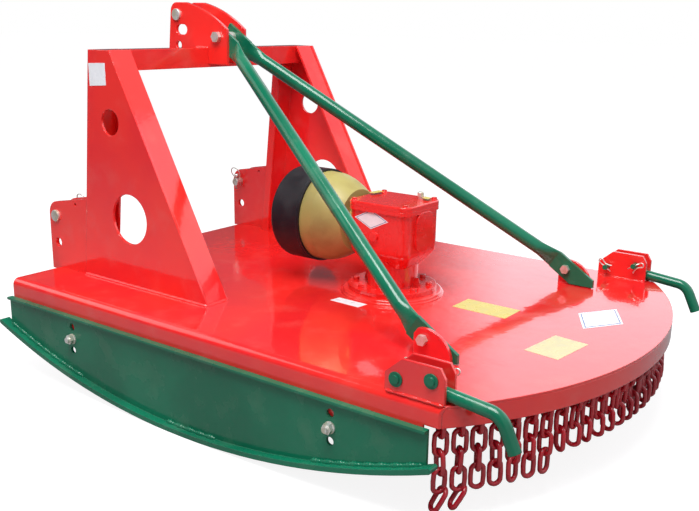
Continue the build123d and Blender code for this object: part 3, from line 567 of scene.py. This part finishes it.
def patch(corners, lift, t=0.0004):
    """A flat film over four corners, t thick, raised along lift."""
    low = np.asarray(corners, float)
    lift = np.asarray(lift, float)
    if np.dot(np.cross(low[1] - low[0], low[2] - low[1]), lift) < 0:
        low = low[::-1]
    high = low + lift * t
    faces = [[3, 2, 1, 0], [4, 5, 6, 7]] + [[i, (i + 1) % 4, (i + 1) % 4 + 4, i + 4] for i in range(4)]
    return np.concatenate([low, high]), faces


def level_with(z, points):
    """Corners given in millimetres, in metres at a height of z."""
    return [(x / 1000, y / 1000, z) for x, y in points]


upwards, outwards = (0, 0, 1), (-1, 0, 0)
for name, corners, film in (
    ("white", ((-190, -28), (-154, -33), (-156, -132), (-194, -128)), white_film),
    ("yellow", ((-20, -325), (70, -325), (68, -490), (-24, -490)), yellow_film),
    ("plate", ((-208, -637), (-62, -652), (-73, -745), (-219, -730)), cream_film),
):
    put(f"deck_patch_{name}", *patch(level_with(deck_z, corners), upwards), film, smooth=False)

deck_diamond = np.array(level_with(deck_z, ((146, -625), (249, -693), (136, -755), (32, -687))))
box_side_x = -0.088
box_diamond = np.array(
    [(box_side_x, y, z) for y, z in ((-0.034, 0.506), (-0.091, 0.534), (-0.150, 0.506), (-0.091, 0.478))]
)
# Each diamond is three films, one on another: white, a thin dark border line, and white again.
diamond_layers = ((1.0, white_film), (0.90, blue_film), (0.85, white_film))
for place, corners, lift in (("deck", deck_diamond, upwards), ("gearbox", box_diamond, outwards)):
    middle = corners.mean(0)
    for layer, (share, film) in enumerate(diamond_layers):
        shape = patch(middle + (corners - middle) * share, lift, 0.0003 + 0.0003 * layer)
        put(f"{place}_diamond_{layer}", *shape, film, smooth=False)

cover_z = 0.559
for place, corners in (
    ("front", ((12, -10), (58, -14), (55, -36), (8, -31))),
    ("rear", ((40, -176), (66, -171), (62, -194), (36, -199))),
):
    on_cover = patch(level_with(cover_z, corners), upwards)
    put(f"gearbox_patch_{place}", *on_cover, yellow_film, smooth=False)

leg_side_x = -0.453
leg_corners = ((0.649, 0.917), (0.577, 0.920), (0.576, 0.858), (0.648, 0.853))
on_leg = patch([(leg_side_x, y, z) for y, z in leg_corners], outwards)
put("leg_patch", *on_leg, white_film, smooth=False)

# Linch pins and spring clips.
# Each hitch pin's tail holds a linch pin with a sprung ring, and each pin of
# the rear brackets holds a bent wire clip. All are zinc-plated.


def hoop(centre, r, wire, normal):
    """A ring of wire of that radius round centre at radius r, in the plane across normal."""
    normal = np.asarray(normal, float) / np.linalg.norm(normal)
    side = np.cross(normal, (0.3, 0.5, 0.8))
    side /= np.linalg.norm(side)
    other = np.cross(normal, side)
    t = np.linspace(0, 2 * np.pi, 36, endpoint=False)
    path = np.asarray(centre) + r * (np.cos(t)[:, None] * side + np.sin(t)[:, None] * other)
    return carried(path, wire, closed=True, up=tuple(normal))


peg_r, peg_head_r, linch_ring_r, linch_wire_r = 0.0042, 0.0075, 0.021, 0.0018
linch_ring_normal = (0.93, 0.0, 0.35)
linch = []
# The place on each hitch pin's axis, that pin's radius, and how far above the pin its ring's centre is.
for x, y, z, pin_r, ring_up in (
    (-0.352, 0.957 + shift, 0.445, 0.014, 0.020),
    (0.352, 0.957 + shift, 0.445, 0.014, 0.020),
    (0.060, 0.828 + shift, 1.055, 0.0125, -0.006),
):
    pin_top = z + pin_r
    linch.append(carried([(x, y, z - pin_r - 0.012), (x, y, pin_top + 0.002)], peg_r, sides=10))
    linch.append(carried([(x, y, pin_top + 0.001), (x, y, pin_top + 0.016)], peg_head_r, sides=12))
    linch.append(hoop((x, y + 0.004, pin_top + ring_up), linch_ring_r, linch_wire_r, linch_ring_normal))
put("linch_pins", *joined(linch), zinc)

clip_wire_r, clip_x = 0.0019, 0.553
# One clip lies in the plane of y and z: a straight leg through the pin, and a wave that grips round it.
bow = np.linspace(0, np.pi, 14)
back = np.linspace(0, 1, 14)[1:]
leg = [(0.0, 0.022), (0.0, -0.020)]
wave = [(-0.007 + 0.007 * np.cos(b), 0.022 + 0.008 * np.sin(b)) for b in bow]
wave += [(-0.014 + 0.006 * np.sin(b * np.pi) - 0.004 * b, 0.022 - 0.034 * b) for b in back]
clips = []
for side in (-1, 1):
    for y, z, lean in ((-0.429 + shift, 0.311, 1.0), (-0.517 + shift, 0.329, -1.0)):
        for line in (leg, wave):
            turned = [
                (
                    side * clip_x,
                    y + a * math.cos(lean) + b * math.sin(lean),
                    z - a * math.sin(lean) + b * math.cos(lean),
                )
                for a, b in line
            ]
            clips.append(carried(turned, clip_wire_r, up=(1, 0, 0)))
put("spring_clips", *joined(clips), zinc)

# Input shaft.
# A six-splined stub of machined steel with a locking groove near its end.
shaft_z, shaft_sides, spline_count = 0.474, 96, 6
outer_r, root_r, groove_r, journal_r, chamfer_r = 0.01745, 0.0149, 0.0148, 0.0200, 0.0160
turn = np.linspace(0, 2 * np.pi, shaft_sides, endpoint=False)
splined = np.where(np.cos(spline_count * turn) > -0.15, outer_r, root_r)
journal = np.full(shaft_sides, journal_r)
plain = np.full(shaft_sides, outer_r)
groove = np.full(shaft_sides, groove_r)
# The stub's sections from the gearbox outwards: how far ahead of the rotor's axis, and the outline there.
sections = (
    (0.050, journal),
    (0.127, journal),
    (0.1271, plain),
    (0.1400, plain),
    (0.1405, splined),
    (0.2020, splined),
    (0.2025, groove),
    (0.2095, groove),
    (0.2100, splined),
    (0.2270, splined),
    (0.2300, np.minimum(splined, chamfer_r)),
)
stations = np.array([ahead for ahead, _ in sections]) + shift
radius = np.stack([outline for _, outline in sections])
shaft = np.stack(
    [
        radius * np.cos(turn),
        np.broadcast_to(stations[:, None], radius.shape),
        shaft_z + radius * np.sin(turn),
    ],
    -1,
)
last = radius.size - shaft_sides
faces = [list(f)[::-1] for f in grid_faces(len(sections), shaft_sides)]
faces += [list(range(shaft_sides)), list(range(last, radius.size))[::-1]]
stub = put("splined_stub", shaft, faces, bright, body="input_drive", smooth=False)
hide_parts("input_shaft")

# Floor, light and camera.
# A pale seamless floor, a pale room that shows in the gloss, and soft lamps.
far = 40.0
floor_mesh = bpy.data.meshes.new("floor")
floor_corners = [(-far, -far, 0), (far, -far, 0), (far, far, 0), (-far, far, 0)]
floor_mesh.from_pydata(floor_corners, [], [(0, 1, 2, 3)])
floor_finish = bpy.data.materials.new("floor")
floor_finish.use_nodes = True
tree = floor_finish.node_tree
shader = tree.nodes["Principled BSDF"]
shader.inputs["Base Color"].default_value = (0.26, 0.26, 0.26, 1)
shader.inputs["Roughness"].default_value = 0.9
shader.inputs["Specular IOR Level"].default_value = 0.0
shader.inputs["Emission Color"].default_value = (1, 1, 1, 1)
# The floor glows for the camera alone, so it stays pale without lighting the machine.
floor_glow = 0.88
seen = tree.nodes.new("ShaderNodeLightPath")
glow = arith(tree, "MULTIPLY", seen.outputs["Is Camera Ray"], floor_glow)
tree.links.new(glow, shader.inputs["Emission Strength"])
floor_mesh.materials.append(floor_finish)
added("floor", floor_mesh)


def facing(tree, way):
    """How far a ray's direction agrees with way: 1 along it, 0 across it."""
    node = tree.nodes.new("ShaderNodeVectorMath")
    node.operation = "DOT_PRODUCT"
    tree.links.new(tree.nodes.new("ShaderNodeTexCoord").outputs["Generated"], node.inputs[0])
    node.inputs[1].default_value = way
    return node.outputs["Value"]


world = bpy.data.worlds.new("room")
bpy.context.scene.world = world
world.use_nodes = True
tree = world.node_tree
sky = tree.nodes["Background"]
# The camera sees plain white. Gloss sees a dim room with a bright screen on the machine's right.
seen = tree.nodes.new("ShaderNodeLightPath")
screen = ramp(tree, facing(tree, (0.477, -0.879, 0.0)), -0.07, 0.05, 0.12, 1.4)
right_wall = ramp(tree, facing(tree, (0.966, 0.259, 0.0)), 0.60, 0.84, 0.42, 1.0)
room = arith(tree, "MULTIPLY", screen, right_wall)
diffuse_light, camera_light = 0.5, 1.0
lit = ramp(tree, seen.outputs["Is Glossy Ray"], 0.0, 1.0, diffuse_light, room)
strength = ramp(tree, seen.outputs["Is Camera Ray"], 0.0, 1.0, lit, camera_light)
tree.links.new(strength, sky.inputs["Strength"])
room_tint, white = (0.96, 0.92, 1, 1), (1, 1, 1, 1)
tree.links.new(mixed(tree, seen.outputs["Is Camera Ray"], room_tint, white), sky.inputs["Color"])


def stand(thing, right, up, back, spot):
    """Places a lamp or camera so that it looks against back, with right and up across its view."""
    placed = np.eye(4)
    placed[:3] = np.stack([right, up, back, spot], 1)
    thing.matrix_world = Matrix(placed.tolist())


# Each lamp: its place, the point that it faces, its side in metres and its power in watts.
for name, spot, aim, size, power in (
    ("key", (-1.4, -0.5, 3.9), (0, 0, 0.3), 2.2, 200),
    ("fill", (2.4, -3.0, 2.4), (0, 0, 0.3), 2.6, 16),
    ("front", (-1.6, 3.0, 2.6), (0, 0.2, 0.4), 2.4, 24),
):
    lamp = bpy.data.lights.new(name, "AREA")
    lamp.size = size
    lamp.energy = power
    back = np.array(spot, float) - np.array(aim, float)
    back /= np.linalg.norm(back)
    right = np.cross((0, 0, 1), back)
    right /= np.linalg.norm(right)
    stand(added(name, lamp), right, np.cross(back, right), back, spot)

# The camera stands where the photograph's lines and circles put it.
yaw, pitch, roll = math.radians(53.417), math.radians(14.618), math.radians(0.882)
camera_spot = (-2.1300, -1.5333, 1.0523)
focal_px, photo_width_px, sensor_mm = 910.72, 699, 36.0
forward = np.array(
    [math.sin(yaw) * math.cos(pitch), math.cos(yaw) * math.cos(pitch), -math.sin(pitch)]
)
level = np.array([math.cos(yaw), -math.sin(yaw), 0.0])
above = np.cross(level, forward)
right = math.cos(roll) * level + math.sin(roll) * above
up = -math.sin(roll) * level + math.cos(roll) * above
camera_data = bpy.data.cameras.new("camera")
camera_data.sensor_width = sensor_mm
camera_data.lens = focal_px / photo_width_px * sensor_mm
camera_data.clip_end = 200.0
camera = added("camera", camera_data)
stand(camera, right, up, -forward, camera_spot)
bpy.context.scene.camera = camera
bpy.context.scene.view_settings.view_transform = "Standard"
